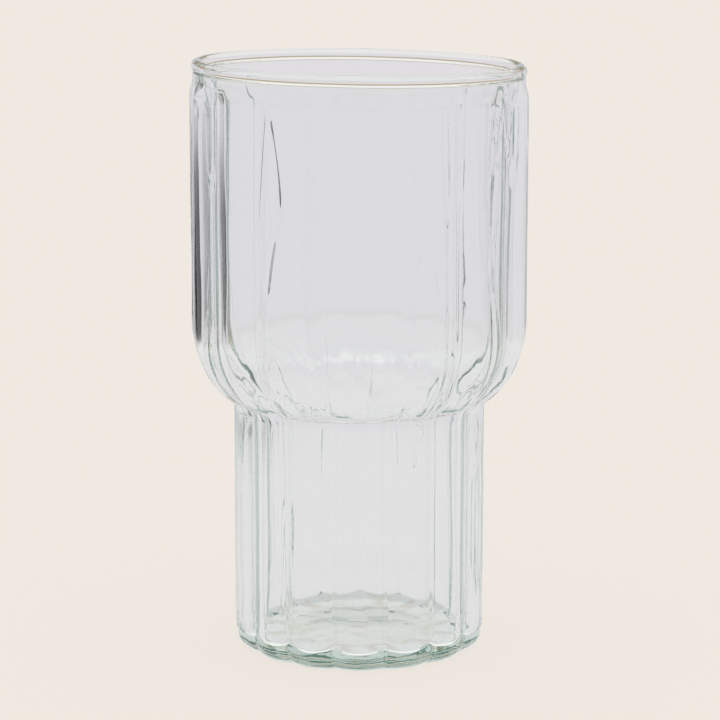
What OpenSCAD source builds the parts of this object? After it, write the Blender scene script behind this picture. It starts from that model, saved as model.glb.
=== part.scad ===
// Tall fluted tumbler, blown in a ribbed mould as one piece of clear glass.
// A wide straight bowl stands on a narrower column, and the flutes run from the foot through
// the shoulder to just below the plain fire-polished rim. The glass stands on a flat ring
// round a shallow hollow under the base. The axis is Z and the table is at z = 0.

/* [Overall] */
// Height from the table to the top of the rim
glass_h = 135; // [120:1:160]
// Wall thickness at the bottom of the flute grooves
wall = 2; // [1.5:0.1:3]

/* [Bowl] */
// Diameter of the bowl over the flute crests
bowl_d = 77.2; // [70:0.2:90]
// How far the plain rim is set in from the flute crests
rim_inset = 0.75; // [0:0.05:2]
// Thickness of the rounded rim
rim_t = 2.8; // [2:0.1:3.2]
// How far the rounded rim swells from the wall, outside and inside
swell_out = 0.35; // [0.1:0.05:0.6]
swell_in = 0.6; // [0.1:0.05:0.8]
// Radius of the hollow curve below the rim
throat_r = 1.2; // [0.6:0.1:1.6]
// Height of the plain round band below the rim's hollow curve
plain_h = 0.4; // [0.2:0.1:4]
// Height over which the flutes die out below the plain band
fade_h = 5; // [4:0.5:16]

/* [Shoulder and column] */
// Diameter of the column over the flute crests
column_d = 57.9; // [50:0.1:64]
// Height of the column from the table to the neck
column_h = 56; // [40:1:70]
// Height of the shoulder from the neck to the straight bowl
shoulder_h = 19; // [14:0.5:28]
// Radius of the hollow curve at the neck
neck_r = 3; // [1:0.25:6]

/* [Base] */
// Thickness of the floor
floor_t = 4; // [3:0.1:8]
// Radius of the outer corner at the foot
foot_r = 4.5; // [2:0.25:6]
// Radius of the inner corner at the floor
floor_r = 1; // [0.5:0.25:6]
// Width of the flat standing ring at the flute grooves
ring_w = 2.6; // [1.5:0.1:8]
// Depth of the shallow hollow under the base
hollow_h = 1.2; // [0.4:0.1:2]

/* [Flutes] */
// Number of flutes round the glass
flutes = 15; // [8:1:20]
// Depth of the grooves on the outside
flute_depth = 1.2; // [0.4:0.1:1.6]
// Depth of the grooves on the inside, which follow the outside
inner_depth = 1; // [0.1:0.1:1.4]
// Roundness of the outer groove bottoms, where 0 is a sharp crease
groove_round = 0.12; // [0.05:0.01:1]
// Roundness of the inner groove bottoms
inner_round = 0.4; // [0.05:0.05:1]
// Breadth of the crests, where a smaller number makes the grooves narrower
crest_breadth = 0.8; // [0.6:0.05:1.6]

/* [Hidden] */

// Facets round one flute, and steps along each round stretch of the profile
flute_steps = 8;
foot_steps = 4;
neck_steps = 3;
shoulder_steps = 5;
fade_steps = 4;
rim_steps = 4;
throat_steps = 2;
dome_facets = 128;

bowl_r = bowl_d / 2;
rim_r = bowl_r - rim_inset;
column_r = column_d / 2;
bead_r = rim_t / 2;

// The round of the rim runs into the wall through a hollow curve on each side
bead_centre = [rim_r - bead_r, glass_h - bead_r];
swing = bead_r + throat_r;
tuck_out = acos(1 - swell_out / swing);
tuck_in = acos(1 - swell_in / swing);
throat_out = [rim_r - swell_out, bead_centre[1] - swing * sin(tuck_out)];
throat_in = [rim_r - rim_t + swell_in, bead_centre[1] - swing * sin(tuck_in)];

// The wall is thicker behind a crest, because the inside is less deeply fluted
crest_wall = wall + flute_depth - inner_depth;

// The shoulder is an S of two arcs that meet at one slope
step_in = bowl_r - column_r;
slope = 2 * atan2(step_in, shoulder_h);
shoulder_r = shoulder_h / sin(slope) - neck_r;
shoulder_z = column_h + shoulder_h;

// Sphere that hollows the base to its depth inside the standing ring
hollow_r = column_r - foot_r - flute_depth - ring_w;
dome_r = (hollow_r * hollow_r + hollow_h * hollow_h) / (2 * hollow_h);

// A profile point is [crest radius, height, groove depth there]
function arc(centre, radius, from, to, steps, depth, first = 0) =
    [for (i = [first : steps])
        let (a = from + (to - from) * i / steps)
        [centre[0] + radius * cos(a), centre[1] + radius * sin(a), depth]];

function ease(t) = t * t * (3 - 2 * t);

// The fluted wall passes into the plain rim, read upwards
function fade(fluted_r, throat, depth) =
    [for (i = [0 : fade_steps])
        let (t = i / fade_steps, s = ease(t))
        [fluted_r + (throat[0] - fluted_r) * s, throat[1] - plain_h - fade_h * (1 - t), depth * (1 - s)]];

function reversed(list) = [for (i = [len(list) - 1 : -1 : 0]) list[i]];

neck_centre = [column_r + neck_r, column_h];
shoulder_centre = [bowl_r - shoulder_r, shoulder_z];
floor_centre = [column_r - crest_wall - floor_r, floor_t + floor_r];

outer_profile = concat(
    arc([column_r - foot_r, foot_r], foot_r, -90, 0, foot_steps, flute_depth),
    arc(neck_centre, neck_r, 180, 180 - slope, neck_steps, flute_depth),
    arc(shoulder_centre, shoulder_r, -slope, 0, shoulder_steps, flute_depth, 1),
    fade(bowl_r, throat_out, flute_depth),
    arc([throat_out[0] + throat_r, throat_out[1]], throat_r, 180, 180 - tuck_out, throat_steps, 0));

rim_profile = concat(
    arc(bead_centre, bead_r, -tuck_out, 90, rim_steps, 0, 1),
    arc(bead_centre, bead_r, 90, 180 + tuck_in, rim_steps, 0, 1));

inner_profile = concat(
    arc([throat_in[0] - throat_r, throat_in[1]], throat_r, tuck_in, 0, throat_steps, 0, 1),
    reversed(fade(bowl_r - crest_wall, throat_in, inner_depth)),
    arc(shoulder_centre, shoulder_r - crest_wall, 0, -slope, shoulder_steps, inner_depth),
    arc(neck_centre, neck_r + crest_wall, 180 - slope, 180, neck_steps, inner_depth, 1),
    arc(floor_centre, floor_r, 0, -90, foot_steps, inner_depth));

profile = concat(outer_profile, rim_profile, inner_profile);
inner_from = len(outer_profile) + len(rim_profile);

// 0 on a flute crest and 1 at the bottom of a groove, with broad crests and narrow grooves
function groove(a, bottom) =
    let (c = cos(flutes * a / 2), valley = pow(bottom, crest_breadth),
        crest = pow(1 + bottom * bottom, crest_breadth / 2))
    (crest - pow(c * c + bottom * bottom, crest_breadth / 2)) / (crest - valley);

// The profile swept round the axis as one closed skin, from the foot over the rim to the floor.
// Angles count from the crest that faces the front, -Y
module fluted_skin() {
    sides = flutes * flute_steps;
    rings = len(profile);
    skin = [for (i = [0 : rings - 1], j = [0 : sides - 1])
        let (p = profile[i], a = 360 * j / sides, bottom = i < inner_from ? groove_round : inner_round,
            r = p[0] - p[2] * groove(a, bottom))
        [r * sin(a), -r * cos(a), p[1]]];
    foot_middle = len(skin);
    floor_middle = foot_middle + 1;
    function at(i, j) = i * sides + j % sides;
    walls = [for (i = [0 : rings - 2], j = [0 : sides - 1])
        let (a = at(i, j), b = at(i, j + 1), c = at(i + 1, j + 1), d = at(i + 1, j))
        each [[a, d, c], [a, c, b]]];
    foot = [for (j = [0 : sides - 1]) [foot_middle, at(0, j), at(0, j + 1)]];
    floor_top = [for (j = [0 : sides - 1]) [floor_middle, at(rings - 1, j + 1), at(rings - 1, j)]];
    polyhedron(
        points = concat(skin, [[0, 0, 0], [0, 0, floor_t]]),
        faces = concat(walls, foot, floor_top));
}

module base_hollow() {
    translate([0, 0, hollow_h - dome_r])
        sphere(r = dome_r, $fn = dome_facets);
}

module tumbler_glass() {
    color("lightcyan", 0.35)
        difference() {
            fluted_skin();
            base_hollow();
        }
}

tumbler_glass();
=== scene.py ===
import math

import bpy
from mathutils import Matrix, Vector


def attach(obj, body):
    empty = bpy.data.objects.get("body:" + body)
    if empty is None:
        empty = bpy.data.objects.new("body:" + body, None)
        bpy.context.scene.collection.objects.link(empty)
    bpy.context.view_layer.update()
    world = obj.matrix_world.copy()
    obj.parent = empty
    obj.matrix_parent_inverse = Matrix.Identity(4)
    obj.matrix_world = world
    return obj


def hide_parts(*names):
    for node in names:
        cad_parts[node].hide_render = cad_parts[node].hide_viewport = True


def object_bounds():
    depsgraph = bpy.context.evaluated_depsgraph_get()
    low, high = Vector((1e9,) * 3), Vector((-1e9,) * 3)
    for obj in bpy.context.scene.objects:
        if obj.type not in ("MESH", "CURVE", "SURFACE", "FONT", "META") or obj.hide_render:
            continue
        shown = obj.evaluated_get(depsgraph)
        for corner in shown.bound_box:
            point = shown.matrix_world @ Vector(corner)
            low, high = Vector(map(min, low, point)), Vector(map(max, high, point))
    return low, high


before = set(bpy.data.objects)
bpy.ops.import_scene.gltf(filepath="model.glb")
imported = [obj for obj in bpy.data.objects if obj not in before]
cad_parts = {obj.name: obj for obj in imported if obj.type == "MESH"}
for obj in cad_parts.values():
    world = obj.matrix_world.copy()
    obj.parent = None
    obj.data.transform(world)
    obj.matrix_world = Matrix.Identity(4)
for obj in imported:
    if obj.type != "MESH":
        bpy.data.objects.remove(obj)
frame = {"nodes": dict(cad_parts)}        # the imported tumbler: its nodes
cadLow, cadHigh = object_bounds()
scene = bpy.context.scene
mm = 0.001
print("frame loaded:", ", ".join(frame["nodes"]))


def hexToLinear(code):
    channels = [int(code[i:i + 2], 16) / 255 for i in (1, 3, 5)]
    return [c / 12.92 if c <= 0.04045 else ((c + 0.055) / 1.055) ** 2.4 for c in channels] + [1.0]


# adds a node, its settings, and its inputs: a node or socket is linked, anything else is a value
# a Mix node takes its share at 0 and its two numbers at 2 and 3, or its two colours at 6 and 7
def addNode(tree, kind, inputs=(), **settings):
    node = tree.nodes.new(kind)
    for name, value in settings.items():
        setattr(node, name, value)
    pairs = inputs.items() if isinstance(inputs, dict) else enumerate(inputs)
    for key, value in pairs:
        if isinstance(value, bpy.types.Node):
            value = value.outputs[0]
        if isinstance(value, bpy.types.NodeSocket):
            tree.links.new(value, node.inputs[key])
        else:
            node.inputs[key].default_value = value
    return node


# the camera stands a little higher than the rim and is tipped down to the middle of the glass
view = {"distance": 0.650, "height": 0.1918, "tipDown": 10.91, "lens": 144.2, "sensor": 36, "shiftX": 0.0011}

cameraData = bpy.data.cameras.new("photoCamera")
cameraData.lens = view["lens"]
cameraData.sensor_width = view["sensor"]
cameraData.shift_x = view["shiftX"]
camera = bpy.data.objects.new("photoCamera", cameraData)
camera.location = (0, -view["distance"], view["height"])
camera.rotation_euler = (math.radians(90 - view["tipDown"]), 0, 0)
scene.collection.objects.link(camera)
scene.camera = camera
print("camera set")


# the tumbler: one wall from the hollow under the base, up the outside, over the rim and down to the floor
tumbler = {
    "height": cadHigh.z,
    "bowlR": -cadLow.y,        # a flute crest faces the front
    "rimInset": 0.75 * mm,
    "rimT": 2.8 * mm,
    "swellOut": 0.35 * mm,        # the rim is thicker than the wall below it, most of all inside
    "swellIn": 0.6 * mm,
    "throatR": 1.2 * mm,        # hollow curve below the rim
    "plainH": 0.4 * mm,
    "fadeH": 5 * mm,        # the flutes die out over this height
    "columnR": 28.95 * mm,
    "columnH": 56 * mm,
    "shoulderH": 19 * mm,
    "neckR": 3 * mm,
    "wall": 2 * mm,
    "floorT": 4 * mm,
    "floorR": 1 * mm,
    "footR": 4.5 * mm,
    "ringW": 2.6 * mm,
    "hollowH": 1.2 * mm,
    "flutes": 15,
    "fluteDepth": 1.2 * mm,
    "innerDepth": 1 * mm,
    "grooveRound": 0.06,        # 0 would be a crease
    "innerRound": 0.14,        # the inside is softer
    "crestBreadth": 0.75,        # smaller means broader crests and narrower grooves
    "wander": 0.6 * mm,        # how far a groove strays to the side
    "wanderFrom": 5 * mm,        # nearer to the axis than this, a groove turns no further
    "depthSpread": 0.3,        # how much deeper or shallower a groove gets
    "wanderSize": (20 * mm, 20 * mm, 70 * mm),
    "rippleSize": (9 * mm, 9 * mm, 40 * mm),        # blown glass ripples along the pull
    "outerRipple": 0.03 * mm,
    "innerRipple": 0.05 * mm,
    "rimRipple": 0.08 * mm,
    "dimpleSize": 3.5 * mm,        # the gathered glass at the bottom is uneven
    "dimple": 0.12 * mm,
    "dimpleH": 12 * mm,        # up to this height above the floor
    "floorDimple": 0.035 * mm,        # the floor and the hollow below it are smoother
    "neckDimple": 0.25 * mm,        # the inside of the neck is uneven too
    "ridgeRise": 1 * mm,        # inside, the ridges between the flutes run out onto the floor
    "ridgeRun": 8 * mm,
    "rimLean": (0.0165, 0.0035, 0),        # the rim slopes down to the right and to the back
    "seed": 16,
    "sidesPerFlute": 28,
    "rowStep": 3 * mm,        # height of one row of faces on the straight walls
    "baseStep": 1.5 * mm,        # and near the base
    "hollowSteps": 14,        # rows on each round stretch
    "footSteps": 12,
    "neckSteps": 7,
    "shoulderSteps": 12,
    "fadeSteps": 8,
    "throatSteps": 8,
    "rimSteps": 28,
    "floorSteps": 8,
    "sameSpot": 0.01 * mm,        # where two stretches share an end point
    "weld": 0.002 * mm,        # closes the seam and the two poles
}


def arcPoints(centre, radius, start, end, steps):
    turns = [math.radians(start + (end - start) * i / steps) for i in range(steps + 1)]
    return [(centre[0] + radius * math.cos(a), centre[1] + radius * math.sin(a)) for a in turns]


def linePoints(start, end, step):
    count = max(1, round(math.dist(start, end) / step))
    return [tuple(a + (b - a) * i / count for a, b in zip(start, end)) for i in range(count + 1)]


# from the fluted wall up to the plain throat of the rim
def fadePoints(wallR, throat, top, height, steps):
    shares = [i / steps for i in range(steps + 1)]
    return [(wallR + (throat - wallR) * s * s * (3 - 2 * s), top - height * (1 - s)) for s in shares]


def wallProfile(t):
    top, bowlR, columnR, columnH = t["height"], t["bowlR"], t["columnR"], t["columnH"]
    footR, neckR, throatR, floorT = t["footR"], t["neckR"], t["throatR"], t["floorT"]
    rimR, bead = bowlR - t["rimInset"], t["rimT"] / 2
    throatOut, throatIn = rimR - t["swellOut"], rimR - t["rimT"] + t["swellIn"]
    swing = bead + throatR
    tuckOut, tuckIn = [math.degrees(math.acos(1 - t[swell] / swing)) for swell in ("swellOut", "swellIn")]
    outZ, inZ = [top - bead - swing * math.sin(math.radians(tuck)) for tuck in (tuckOut, tuckIn)]
    fadeH, plainOut, plainIn = t["fadeH"], outZ - t["plainH"], inZ - t["plainH"]
    thick = t["wall"] + t["fluteDepth"] - t["innerDepth"]        # of the wall behind a crest
    innerBowl, innerColumn = bowlR - thick, columnR - thick
    slope = 2 * math.degrees(math.atan2(bowlR - columnR, t["shoulderH"]))
    bend = t["shoulderH"] / math.sin(math.radians(slope)) - neckR
    neck, shoulder = (columnR + neckR, columnH), (bowlR - bend, columnH + t["shoulderH"])
    floorMid = (innerColumn - t["floorR"], floorT + t["floorR"])
    footIn = columnR - footR
    hollowR = footIn - t["fluteDepth"] - t["ringW"]
    unevenTo = floorT + t["dimpleH"]
    runOut = floorMid[0] - t["ridgeRun"]
    rows = []

    # each pair is the value at the first and at the last point of the stretch
    def addRows(points, depth, ripple, inside, dimple=(0, 0), rise=(0, 0)):
        for i, point in enumerate(points):
            if rows and math.dist(point, rows[-1][0]) < t["sameSpot"]:
                continue
            share = i / (len(points) - 1)
            groove = depth[0] + (depth[1] - depth[0]) * share ** 2 * (3 - 2 * share)
            rest = [pair[0] + (pair[1] - pair[0]) * share for pair in (ripple, dimple, rise)]
            rows.append((point, groove, inside, *rest))

    none, full, soft = (0, 0), (t["fluteDepth"],) * 2, (t["innerDepth"],) * 2
    outer, inner, rim = [(t[name],) * 2 for name in ("outerRipple", "innerRipple", "rimRipple")]
    dimple, faint, pinch, rise = t["dimple"], t["floorDimple"], t["neckDimple"], t["ridgeRise"]
    step, fine = t["rowStep"], t["baseStep"]

    # under the base, then up the outside
    hollowShares = [i / t["hollowSteps"] for i in range(t["hollowSteps"] + 1)]
    hollow = [(hollowR * s, t["hollowH"] * (1 + math.cos(math.pi * s)) / 2) for s in hollowShares]
    addRows(hollow, none, none, 0, (faint, 0))
    addRows(linePoints((hollowR, 0), (footIn, 0), fine), (0, t["fluteDepth"]), none, 0)
    addRows(arcPoints((footIn, footR), footR, -90, 0, t["footSteps"]), full, (0, outer[0]), 0, (0, dimple))
    addRows(linePoints((columnR, footR), (columnR, unevenTo), fine), full, outer, 0, (dimple, 0))
    addRows(linePoints((columnR, unevenTo), (columnR, columnH), step), full, outer, 0)
    addRows(arcPoints(neck, neckR, 180, 180 - slope, t["neckSteps"]), full, outer, 0)
    addRows(arcPoints(shoulder, bend, -slope, 0, t["shoulderSteps"]), full, outer, 0)
    addRows(linePoints((bowlR, shoulder[1]), (bowlR, plainOut - fadeH), step), full, outer, 0)
    fadeOut = fadePoints(bowlR, throatOut, plainOut, fadeH, t["fadeSteps"])
    addRows(fadeOut, (t["fluteDepth"], 0), (outer[0], rim[0]), 0)

    # over the rim
    addRows(arcPoints((throatOut + throatR, outZ), throatR, 180, 180 - tuckOut, t["throatSteps"]),
            none, rim, 0)
    addRows(arcPoints((rimR - bead, top - bead), bead, -tuckOut, 180 + tuckIn, t["rimSteps"]), none, rim, 0)
    addRows(arcPoints((throatIn - throatR, inZ), throatR, tuckIn, 0, t["throatSteps"]), none, rim, 0)

    # down the inside to the middle of the floor
    fadeIn = fadePoints(innerBowl, throatIn, plainIn, fadeH, t["fadeSteps"])[::-1]
    addRows(fadeIn, (0, t["innerDepth"]), (rim[0], inner[0]), 1)
    addRows(linePoints((innerBowl, plainIn - fadeH), (innerBowl, shoulder[1]), step), soft, inner, 1)
    addRows(arcPoints(shoulder, bend - thick, 0, -slope, t["shoulderSteps"]), soft, inner, 1, (0, pinch))
    addRows(arcPoints(neck, neckR + thick, 180 - slope, 180, t["neckSteps"]), soft, inner, 1, (pinch, 0))
    addRows(linePoints((innerColumn, columnH), (innerColumn, unevenTo), step), soft, inner, 1)
    addRows(linePoints((innerColumn, unevenTo), (innerColumn, floorMid[1]), fine), soft, inner, 1,
            (0, dimple), (0, rise))
    addRows(arcPoints(floorMid, t["floorR"], 0, -90, t["floorSteps"]), soft, (inner[0], 0), 1,
            (dimple, dimple), (rise, rise))
    addRows(linePoints((floorMid[0], floorT), (runOut, floorT), fine), (t["innerDepth"], 0), none, 1,
            (dimple, faint), (rise, 0))
    addRows(linePoints((runOut, floorT), (0, floorT), fine), none, none, 1, (faint, faint))
    return rows


# a chain of points that carries, at each row, the groove depth, the unevenness and which way is out
def profileMesh(rows):
    places = [row[0] for row in rows]
    mesh = bpy.data.meshes.new("wallProfile")
    mesh.from_pydata([(r, 0, z) for r, z in places], [(i, i + 1) for i in range(len(rows) - 1)], [])
    outward = []
    for i in range(len(rows)):
        before, after = places[max(i - 1, 0)], places[min(i + 1, len(rows) - 1)]
        length = math.dist(before, after)
        outward += [(after[1] - before[1]) / length, 0, (before[0] - after[0]) / length]
    columns = {"grooveDepth": 1, "inside": 2, "rippleHeight": 3, "dimpleHeight": 4, "ridgeRise": 5}
    for name, place in columns.items():
        values = mesh.attributes.new(name, "FLOAT", "POINT").data
        values.foreach_set("value", [row[place] for row in rows])
    mesh.attributes.new("outward", "FLOAT_VECTOR", "POINT").data.foreach_set("vector", outward)
    return mesh


# the tree sweeps the profile round the axis and presses the flutes into it
def flutedWallTree(t):
    tree = bpy.data.node_groups.new("flutedWall", "GeometryNodeTree")
    tree.interface.new_socket("Profile", in_out="INPUT", socket_type="NodeSocketGeometry")
    sizes = [
        ("Flutes", "NodeSocketInt", t["flutes"]),
        ("Sides", "NodeSocketInt", t["flutes"] * t["sidesPerFlute"]),
        ("Groove Round", "NodeSocketFloat", t["grooveRound"]),
        ("Inner Round", "NodeSocketFloat", t["innerRound"]),
        ("Crest Breadth", "NodeSocketFloat", t["crestBreadth"]),
        ("Wander", "NodeSocketFloat", t["wander"]),
        ("Wander From", "NodeSocketFloat", t["wanderFrom"]),
        ("Depth Spread", "NodeSocketFloat", t["depthSpread"]),
        ("Wander Size", "NodeSocketVector", t["wanderSize"]),
        ("Ripple Size", "NodeSocketVector", t["rippleSize"]),
        ("Dimple Size", "NodeSocketFloat", t["dimpleSize"]),
        ("Rim Lean", "NodeSocketVector", t["rimLean"]),
        ("Lean From", "NodeSocketFloat", t["columnH"] + t["shoulderH"]),
        ("Lean To", "NodeSocketFloat", t["height"]),
        ("Weld", "NodeSocketFloat", t["weld"]),
        ("Seed", "NodeSocketInt", t["seed"]),
        ("Glass", "NodeSocketMaterial", None),
    ]
    values = {}
    for name, kind, value in sizes:
        socket = tree.interface.new_socket(name, in_out="INPUT", socket_type=kind)
        values[name] = (socket.identifier, value)
    tree.interface.new_socket("Glass Wall", in_out="OUTPUT", socket_type="NodeSocketGeometry")

    # a grid with one row for each profile point and one column for each side
    given = addNode(tree, "NodeGroupInput").outputs
    profile = given["Profile"]
    rowCount = addNode(tree, "GeometryNodeAttributeDomainSize", {"Geometry": profile}).outputs["Point Count"]
    columnCount = addNode(tree, "FunctionNodeIntegerMath", [given["Sides"], 1], operation="ADD")
    grid = addNode(tree, "GeometryNodeMeshGrid", {"Vertices X": columnCount, "Vertices Y": rowCount})
    index = addNode(tree, "GeometryNodeInputIndex")
    row = addNode(tree, "FunctionNodeIntegerMath", [index, rowCount], operation="MODULO")
    column = addNode(tree, "FunctionNodeIntegerMath", [index, rowCount], operation="DIVIDE_FLOOR")
    share = addNode(tree, "ShaderNodeMath", [column, given["Sides"]], operation="DIVIDE")
    angle = addNode(tree, "ShaderNodeMath", [share, math.tau], operation="MULTIPLY")
    cosine = addNode(tree, "ShaderNodeMath", [angle], operation="COSINE")
    sine = addNode(tree, "ShaderNodeMath", [angle], operation="SINE")

    # what the profile says at this row
    position = addNode(tree, "GeometryNodeInputPosition")
    placeHere = addNode(tree, "GeometryNodeSampleIndex",
                        {"Geometry": profile, "Value": position, "Index": row}, data_type="FLOAT_VECTOR")
    outwardName = addNode(tree, "GeometryNodeInputNamedAttribute", {"Name": "outward"},
                          data_type="FLOAT_VECTOR")
    outwardHere = addNode(tree, "GeometryNodeSampleIndex",
                          {"Geometry": profile, "Value": outwardName, "Index": row}, data_type="FLOAT_VECTOR")
    atRow = {}
    for name in ("grooveDepth", "inside", "rippleHeight", "dimpleHeight", "ridgeRise"):
        stored = addNode(tree, "GeometryNodeInputNamedAttribute", {"Name": name}, data_type="FLOAT")
        atRow[name] = addNode(tree, "GeometryNodeSampleIndex",
                              {"Geometry": profile, "Value": stored, "Index": row}, data_type="FLOAT")
    radius, _, height = addNode(tree, "ShaderNodeSeparateXYZ", [placeHere]).outputs
    outR, _, outZ = addNode(tree, "ShaderNodeSeparateXYZ", [outwardHere]).outputs

    # noise is read on the plain round wall, and apart for the inside and the outside
    plainX = addNode(tree, "ShaderNodeMath", [radius, cosine], operation="MULTIPLY")
    plainY = addNode(tree, "ShaderNodeMath", [radius, sine], operation="MULTIPLY")
    apart = addNode(tree, "ShaderNodeMath", [atRow["inside"], 1.0, height], operation="MULTIPLY_ADD")
    plainWall = addNode(tree, "ShaderNodeCombineXYZ", [plainX, plainY, height])
    apartWall = addNode(tree, "ShaderNodeCombineXYZ", [plainX, plainY, apart])
    wanderAt = addNode(tree, "ShaderNodeVectorMath", [plainWall, given["Wander Size"]], operation="DIVIDE")
    rippleAt = addNode(tree, "ShaderNodeVectorMath", [apartWall, given["Ripple Size"]], operation="DIVIDE")
    dimpleAt = addNode(tree, "ShaderNodeVectorMath", [apartWall, given["Dimple Size"]], operation="DIVIDE")
    noise = {}
    for name, at, apartSeed, detail in (("wander", wanderAt, 0.0, 1.0), ("depth", wanderAt, 17.5, 1.0),
                                        ("ripple", rippleAt, 39.5, 2.0), ("dimple", dimpleAt, 51.5, 1.0)):
        seed = addNode(tree, "ShaderNodeMath", [given["Seed"], apartSeed], operation="ADD")
        grain = addNode(tree, "ShaderNodeTexNoise",
                        {"Vector": at, "W": seed, "Scale": 1.0, "Detail": detail}, noise_dimensions="4D")
        noise[name] = addNode(tree, "ShaderNodeMapRange", {
            "Value": grain, "From Min": 0.25, "From Max": 0.75, "To Min": -1.0, "To Max": 1.0}, clamp=False)

    # grooves: broad round crests with narrow valleys between them, and a crest at the front, -Y
    sideways = addNode(tree, "ShaderNodeMath", [noise["wander"], given["Wander"]], operation="MULTIPLY")
    turnR = addNode(tree, "ShaderNodeMath", [radius, given["Wander From"]], operation="MAXIMUM")
    swing = addNode(tree, "ShaderNodeMath", [sideways, turnR], operation="DIVIDE")
    fromFront = addNode(tree, "ShaderNodeMath", [angle, math.pi / 2], operation="ADD")
    strayed = addNode(tree, "ShaderNodeMath", [fromFront, swing], operation="ADD")
    halfFlutes = addNode(tree, "ShaderNodeMath", [given["Flutes"], 0.5], operation="MULTIPLY")
    phase = addNode(tree, "ShaderNodeMath", [strayed, halfFlutes], operation="MULTIPLY")
    wave = addNode(tree, "ShaderNodeMath", [phase], operation="COSINE")
    halfPower = addNode(tree, "ShaderNodeMath", [given["Crest Breadth"], 0.5], operation="MULTIPLY")
    roundHere = addNode(tree, "ShaderNodeMapRange", {
        "Value": atRow["inside"], "To Min": given["Groove Round"], "To Max": given["Inner Round"]})
    roundSquare = addNode(tree, "ShaderNodeMath", [roundHere, 2.0], operation="POWER")
    waveSquare = addNode(tree, "ShaderNodeMath", [wave, wave, roundSquare], operation="MULTIPLY_ADD")
    crestSquare = addNode(tree, "ShaderNodeMath", [roundSquare, 1.0], operation="ADD")
    lobe = addNode(tree, "ShaderNodeMath", [waveSquare, halfPower], operation="POWER")
    valley = addNode(tree, "ShaderNodeMath", [roundSquare, halfPower], operation="POWER")
    crest = addNode(tree, "ShaderNodeMath", [crestSquare, halfPower], operation="POWER")
    groove = addNode(tree, "ShaderNodeMapRange", {
        "Value": lobe, "From Min": valley, "From Max": crest, "To Min": 1.0, "To Max": 0.0})
    deeper = addNode(tree, "ShaderNodeMath", [noise["depth"], given["Depth Spread"], 1.0],
                     operation="MULTIPLY_ADD")
    depth = addNode(tree, "ShaderNodeMath", [atRow["grooveDepth"], deeper], operation="MULTIPLY")
    pressed = addNode(tree, "ShaderNodeMath", [groove, depth], operation="MULTIPLY")
    fluted = addNode(tree, "ShaderNodeMath", [radius, pressed], operation="SUBTRACT")

    # ripples and dimples stand out along the profile's own normal
    dimpled = addNode(tree, "ShaderNodeMath", [noise["dimple"], atRow["dimpleHeight"]], operation="MULTIPLY")
    lift = addNode(tree, "ShaderNodeMath", [noise["ripple"], atRow["rippleHeight"], dimpled],
                   operation="MULTIPLY_ADD")
    wallR = addNode(tree, "ShaderNodeMath", [lift, outR, fluted], operation="MULTIPLY_ADD")
    risen = addNode(tree, "ShaderNodeMath", [groove, atRow["ridgeRise"], height], operation="MULTIPLY_ADD")
    wallZ = addNode(tree, "ShaderNodeMath", [lift, outZ, risen], operation="MULTIPLY_ADD")
    wallX = addNode(tree, "ShaderNodeMath", [wallR, cosine], operation="MULTIPLY")
    wallY = addNode(tree, "ShaderNodeMath", [wallR, sine], operation="MULTIPLY")

    # the bowl leans more and more towards the rim
    leaning = addNode(tree, "ShaderNodeMapRange", {
        "Value": height, "From Min": given["Lean From"], "From Max": given["Lean To"]},
        interpolation_type="SMOOTHSTEP")
    upright = addNode(tree, "ShaderNodeCombineXYZ", [wallX, wallY, wallZ])
    lean = addNode(tree, "ShaderNodeVectorMath", [upright, given["Rim Lean"]],
                   operation="DOT_PRODUCT").outputs["Value"]
    drop = addNode(tree, "ShaderNodeMath", [lean, leaning], operation="MULTIPLY")
    leantZ = addNode(tree, "ShaderNodeMath", [wallZ, drop], operation="SUBTRACT")
    place = addNode(tree, "ShaderNodeCombineXYZ", [wallX, wallY, leantZ])

    swept = addNode(tree, "GeometryNodeSetPosition", {"Geometry": grid.outputs["Mesh"], "Position": place})
    joined = addNode(tree, "GeometryNodeMergeByDistance", {"Geometry": swept, "Distance": given["Weld"]})
    smooth = addNode(tree, "GeometryNodeSetShadeSmooth", {"Geometry": joined})
    real = addNode(tree, "GeometryNodeRealizeInstances", {"Geometry": smooth})
    dressed = addNode(tree, "GeometryNodeSetMaterial", {"Geometry": real, "Material": given["Glass"]})
    addNode(tree, "NodeGroupOutput", [dressed])
    return tree, values


# soda-lime glass, blown in a ribbed mould and fire-polished: clear with a green cast where it is thick
glass = {
    "tint": "#FDFEFE",
    "ior": 1.5,
    "absorbHue": "#97C4B2",
    "absorbPerMetre": 12.0,
    "hazeSize": 14 * mm,        # faint uneven polish, in patches of this size
    "hazeNoise": (0.45, 0.8),        # the stretch of the noise that shows
    "haze": (0.0, 0.02),
    "striaSize": (2.5 * mm, 2.5 * mm, 40 * mm),        # fine streaks drawn along the pull
    "striaHeight": 0.0015 * mm,
    "cordSize": (0.24, 0.24, 60 * mm),        # and a few thin raised cords, for a wall of radius 1
    "cordSeed": 2.0,
    "cordLevel": 0.62,        # a cord follows this level of the noise
    "cordWidth": 0.035,
    "cordHeight": 0.09 * mm,
    "cordSpan": (10 * mm, 16 * mm, 124 * mm, 128 * mm),        # not on the floor or the rim
}


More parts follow.
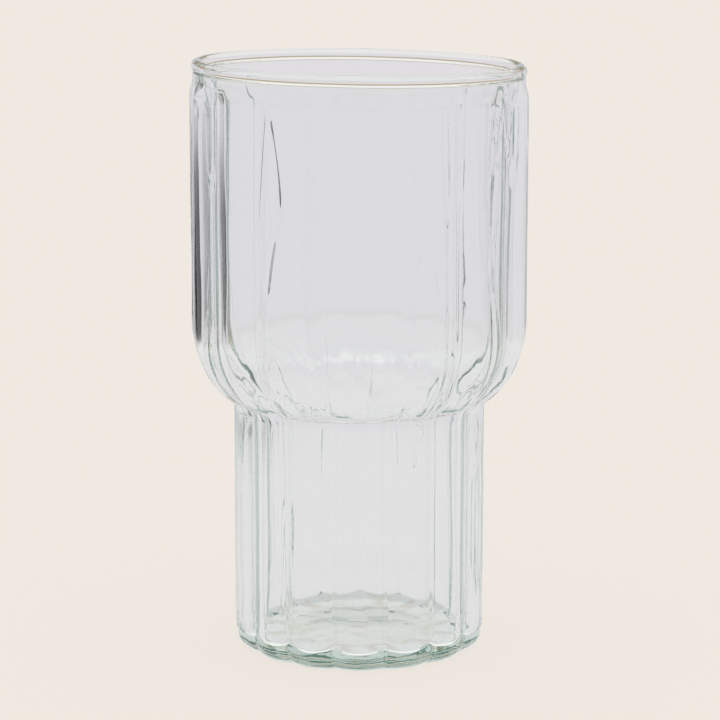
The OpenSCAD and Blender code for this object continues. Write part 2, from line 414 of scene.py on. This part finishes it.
def sodaLimeGlass(g):
    material = bpy.data.materials.new("sodaLimeGlassFirePolished")
    material.use_nodes = True
    tree = material.node_tree
    tree.nodes.clear()
    where = addNode(tree, "ShaderNodeTexCoord").outputs["Object"]
    patches = addNode(tree, "ShaderNodeTexNoise", {
        "Vector": where, "Scale": 1 / g["hazeSize"], "Detail": 3.0})
    haze = addNode(tree, "ShaderNodeMapRange", {
        "Value": patches, "From Min": g["hazeNoise"][0], "From Max": g["hazeNoise"][1],
        "To Min": g["haze"][0], "To Max": g["haze"][1]})
    drawn = addNode(tree, "ShaderNodeMapping", {"Vector": where, "Scale": [1 / s for s in g["striaSize"]]})
    streaks = addNode(tree, "ShaderNodeTexNoise", {"Vector": drawn, "Scale": 1.0, "Detail": 2.0})
    fine = addNode(tree, "ShaderNodeMath", [streaks, g["striaHeight"]], operation="MULTIPLY")

    # the cords' noise is read by heading and height, so that they run on round the shoulder
    _, _, height = addNode(tree, "ShaderNodeSeparateXYZ", [where]).outputs
    level = addNode(tree, "ShaderNodeVectorMath", [where, (1, 1, 0)], operation="MULTIPLY")
    heading = addNode(tree, "ShaderNodeVectorMath", [level], operation="NORMALIZE")
    lifted = addNode(tree, "ShaderNodeCombineXYZ", {"Z": height})
    wrapped = addNode(tree, "ShaderNodeVectorMath", [heading, lifted], operation="ADD")
    pulled = addNode(tree, "ShaderNodeMapping", {"Vector": wrapped, "Scale": [1 / s for s in g["cordSize"]]})
    field = addNode(tree, "ShaderNodeTexNoise", {
        "Vector": pulled, "W": g["cordSeed"], "Scale": 1.0, "Detail": 1.0}, noise_dimensions="4D")
    span = g["cordSpan"]
    begun = addNode(tree, "ShaderNodeMapRange", {
        "Value": height, "From Min": span[0], "From Max": span[1], "To Max": g["cordHeight"]})
    fullHeight = addNode(tree, "ShaderNodeMapRange", {
        "Value": height, "From Min": span[2], "From Max": span[3], "To Min": begun, "To Max": 0.0})
    aside = addNode(tree, "ShaderNodeMath", [field, g["cordLevel"]], operation="SUBTRACT")
    apart = addNode(tree, "ShaderNodeMath", [aside], operation="ABSOLUTE")
    cord = addNode(tree, "ShaderNodeMapRange", {
        "Value": apart, "From Max": g["cordWidth"], "To Min": fullHeight, "To Max": 0.0},
        interpolation_type="SMOOTHSTEP")
    raised = addNode(tree, "ShaderNodeMath", [cord, fine], operation="ADD")
    bump = addNode(tree, "ShaderNodeBump", {"Height": raised, "Distance": 1.0, "Strength": 1.0})
    surface = addNode(tree, "ShaderNodeBsdfPrincipled", {
        "Base Color": hexToLinear(g["tint"]), "Roughness": haze, "IOR": g["ior"],
        "Transmission Weight": 1.0, "Normal": bump})
    body = addNode(tree, "ShaderNodeVolumeAbsorption", {
        "Color": hexToLinear(g["absorbHue"]), "Density": g["absorbPerMetre"]})
    addNode(tree, "ShaderNodeOutputMaterial", {"Surface": surface, "Volume": body})
    return material


glassMaterial = sodaLimeGlass(glass)
wallTree, wallValues = flutedWallTree(tumbler)
profile = bpy.data.objects.new("wallProfile", profileMesh(wallProfile(tumbler)))
scene.collection.objects.link(profile)
sweep = profile.modifiers.new("flutedWall", "NODES")
sweep.node_group = wallTree
for identifier, value in wallValues.values():
    sweep[identifier] = glassMaterial if value is None else value
evaluated = profile.evaluated_get(bpy.context.evaluated_depsgraph_get())
tumblerMesh = bpy.data.meshes.new_from_object(evaluated)
tumblerMesh.name = "tumblerGlass"
profile.modifiers.remove(sweep)
bpy.data.objects.remove(profile)
tumblerGlass = bpy.data.objects.new("tumblerGlass", tumblerMesh)
scene.collection.objects.link(tumblerGlass)
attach(tumblerGlass, "root")
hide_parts("tumbler_glass")
print("tumbler made:", len(tumblerMesh.polygons), "faces")


# the studio: a pale sweep that the glass shows in cool grey, with two dark flags behind it on the left
studio = {
    "page": "#F0E9E1",        # what the camera sees round the glass
    "floorR": 0.30,
    "floorSides": 96,
    "floorZ": 0.05 * mm,        # the paper touches the standing ring and gives a little under it
    "fadeFrom": 0.16,
    "shadow": 0.1,        # share of the floor that takes light and shade
    "floorInGlass": "#E8E5E6",
    # painted contact shade on the floor under the glass, as the glass sees it
    "paintedShadeUnderGlass": "#DDDEDD",
    "paintedLightAndShadowNearFoot": ("#FFFFFF", "#C4C6C4"),        # painted light beside the foot in front of the glass, and painted shadow behind it
    # where the painted light turns to painted shadow, and the radii where the painted shade and light fade
    # out
    "paintedShadowTurnY": 20 * mm,
    "paintedShadeAndLightRadii": (23 * mm, 26 * mm, 27 * mm, 34 * mm),
    "levels": [(-90, "#ECEAEB"), (-16, "#ECEAEB"), (-12, "#E4E1E3"), (-9, "#E3DFE3"), (3, "#E3DFE3"),
               (6, "#DDD8E0"), (9, "#B5A184"), (13, "#B09A78"), (17, "#EAE5DA"), (21, "#F4F4F2"),
               (50, "#F4F4F2"), (62, "#CDD6DE"), (90, "#FFFFFF")],        # degrees above the horizon: colour
    "flagColour": "#16181C",
    "flags": [(118.5, 10), (157, 5)],        # bearing and half width in degrees
    "flagSoft": 0.7,
    "flagRises": (-15, -10, -8.5, -4.5),        # degrees at which a flag begins, is full, thins out and ends
    "lampFrom": (80, 85),        # degrees above the horizon where the lamp overhead begins
    "lampBoost": 2.2,
    "bounces": 40,        # light crosses four faces of glass, and many more in the base
}


def studioWorld(s):
    world = bpy.data.worlds.new("studio")
    world.use_nodes = True
    tree = world.node_tree
    tree.nodes.clear()
    path = addNode(tree, "ShaderNodeLightPath").outputs
    ray = addNode(tree, "ShaderNodeTexCoord").outputs["Generated"]
    along, across, up = addNode(tree, "ShaderNodeSeparateXYZ", [ray]).outputs
    level = addNode(tree, "ShaderNodeCombineXYZ", [along, across, 0.0])
    heading = addNode(tree, "ShaderNodeVectorMath", [level], operation="NORMALIZE")
    upShare = addNode(tree, "ShaderNodeMapRange", {"Value": up, "From Min": -1.0, "From Max": 1.0})
    sweepRamp = addNode(tree, "ShaderNodeValToRGB", [upShare])
    stops = sweepRamp.color_ramp.elements
    while len(stops) < len(s["levels"]):
        stops.new(1.0)
    for stop, (rise, colour) in zip(stops, s["levels"]):
        stop.position = (math.sin(math.radians(rise)) + 1) / 2
        stop.color = hexToLinear(colour)
    look = sweepRamp.outputs["Color"]

    # the flags
    ends = [math.sin(math.radians(rise)) for rise in s["flagRises"]]
    above = addNode(tree, "ShaderNodeMapRange", {"Value": up, "From Min": ends[0], "From Max": ends[1]},
                    interpolation_type="SMOOTHSTEP")
    reach = addNode(tree, "ShaderNodeMapRange", {
        "Value": up, "From Min": ends[2], "From Max": ends[3], "To Min": above, "To Max": 0.0},
        interpolation_type="SMOOTHSTEP")
    for bearing, half in s["flags"]:
        turn = math.radians(bearing)
        edges = [math.cos(math.radians(width)) for width in (half + s["flagSoft"], half)]
        facing = addNode(tree, "ShaderNodeVectorMath", [heading, (math.cos(turn), math.sin(turn), 0)],
                         operation="DOT_PRODUCT").outputs["Value"]
        mask = addNode(tree, "ShaderNodeMapRange", {
            "Value": facing, "From Min": edges[0], "From Max": edges[1]}, interpolation_type="SMOOTHSTEP")
        cover = addNode(tree, "ShaderNodeMath", [mask, reach], operation="MULTIPLY")
        look = addNode(tree, "ShaderNodeMix", {0: cover, 6: look, 7: hexToLinear(s["flagColour"])},
                       data_type="RGBA").outputs[2]

    # the glass shows this room, the camera sees the page, and plain white lights the rest
    seen = addNode(tree, "ShaderNodeMath", [path["Is Glossy Ray"], path["Is Transmission Ray"]],
                   operation="MAXIMUM")
    plain = addNode(tree, "ShaderNodeMix", {0: seen, 6: (1, 1, 1, 1), 7: look}, data_type="RGBA").outputs[2]
    shown = addNode(tree, "ShaderNodeMix", {0: path["Is Camera Ray"], 6: plain, 7: hexToLinear(s["page"])},
                    data_type="RGBA").outputs[2]
    lamp = [math.sin(math.radians(rise)) for rise in s["lampFrom"]]
    boost = addNode(tree, "ShaderNodeMapRange", {
        "Value": up, "From Min": lamp[0], "From Max": lamp[1], "To Min": 1.0, "To Max": s["lampBoost"]},
        interpolation_type="SMOOTHSTEP")
    strength = addNode(tree, "ShaderNodeMix", {0: seen, 2: 1.0, 3: boost}, data_type="FLOAT")
    light = addNode(tree, "ShaderNodeBackground", {"Color": shown, "Strength": strength})
    addNode(tree, "ShaderNodeOutputWorld", {"Surface": light})
    return world


def studioFloor(s):
    material = bpy.data.materials.new("paperSweep")
    material.use_nodes = True
    tree = material.node_tree
    tree.nodes.clear()
    path = addNode(tree, "ShaderNodeLightPath").outputs
    where = addNode(tree, "ShaderNodeTexCoord").outputs["Object"]
    reach = addNode(tree, "ShaderNodeVectorMath", [where], operation="LENGTH").outputs["Value"]
    fade = addNode(tree, "ShaderNodeMapRange", {
        "Value": reach, "From Min": s["fadeFrom"], "From Max": s["floorR"]}, interpolation_type="SMOOTHSTEP")
    paper = addNode(tree, "ShaderNodeBsdfDiffuse", {"Color": hexToLinear(s["page"])})
    glow = addNode(tree, "ShaderNodeEmission", {"Color": hexToLinear(s["page"])})
    page = addNode(tree, "ShaderNodeMixShader", [1 - s["shadow"], paper, glow])

    # what the glass shows: painted shade under it, painted light before the foot and painted shadow behind
    # it, and pale further out
    depthwise = addNode(tree, "ShaderNodeSeparateXYZ", [where]).outputs["Y"]
    behind = addNode(tree, "ShaderNodeMapRange", {
        "Value": depthwise, "From Min": -s["paintedShadowTurnY"], "From Max": s["paintedShadowTurnY"]}, interpolation_type="SMOOTHSTEP")
    front, back = [hexToLinear(colour) for colour in s["paintedLightAndShadowNearFoot"]]
    paintedLightAndShadow = addNode(tree, "ShaderNodeMix", {0: behind, 6: front, 7: back}, data_type="RGBA").outputs[2]
    floorToneWithPaintedShade = hexToLinear(s["paintedShadeUnderGlass"])
    for start, end, colour in ((0, 1, paintedLightAndShadow), (2, 3, hexToLinear(s["floorInGlass"]))):
        further = addNode(tree, "ShaderNodeMapRange", {
            "Value": reach, "From Min": s["paintedShadeAndLightRadii"][start], "From Max": s["paintedShadeAndLightRadii"][end]},
            interpolation_type="SMOOTHSTEP")
        floorToneWithPaintedShade = addNode(tree, "ShaderNodeMix", {0: further, 6: floorToneWithPaintedShade, 7: colour}, data_type="RGBA").outputs[2]
    inGlass = addNode(tree, "ShaderNodeEmission", {"Color": floorToneWithPaintedShade})
    seen = addNode(tree, "ShaderNodeMath", [path["Is Glossy Ray"], path["Is Transmission Ray"]],
                   operation="MAXIMUM")
    shown = addNode(tree, "ShaderNodeMixShader", [seen, page, inGlass])
    clear = addNode(tree, "ShaderNodeBsdfTransparent")
    edge = addNode(tree, "ShaderNodeMixShader", [fade, shown, clear])
    addNode(tree, "ShaderNodeOutputMaterial", {"Surface": edge})

    turns = [math.tau * i / s["floorSides"] for i in range(s["floorSides"])]
    edgePoints = [(s["floorR"] * math.cos(a), s["floorR"] * math.sin(a), s["floorZ"]) for a in turns]
    mesh = bpy.data.meshes.new("studioFloor")
    mesh.from_pydata(edgePoints, [], [range(s["floorSides"])])
    mesh.materials.append(material)
    floor = bpy.data.objects.new("studioFloor", mesh)
    scene.collection.objects.link(floor)
    return floor


scene.world = studioWorld(studio)
studioFloor(studio)
scene.view_settings.view_transform = "Standard"
scene.cycles.max_bounces = studio["bounces"]
scene.cycles.transmission_bounces = studio["bounces"]
scene.cycles.glossy_bounces = studio["bounces"]
print("studio set")
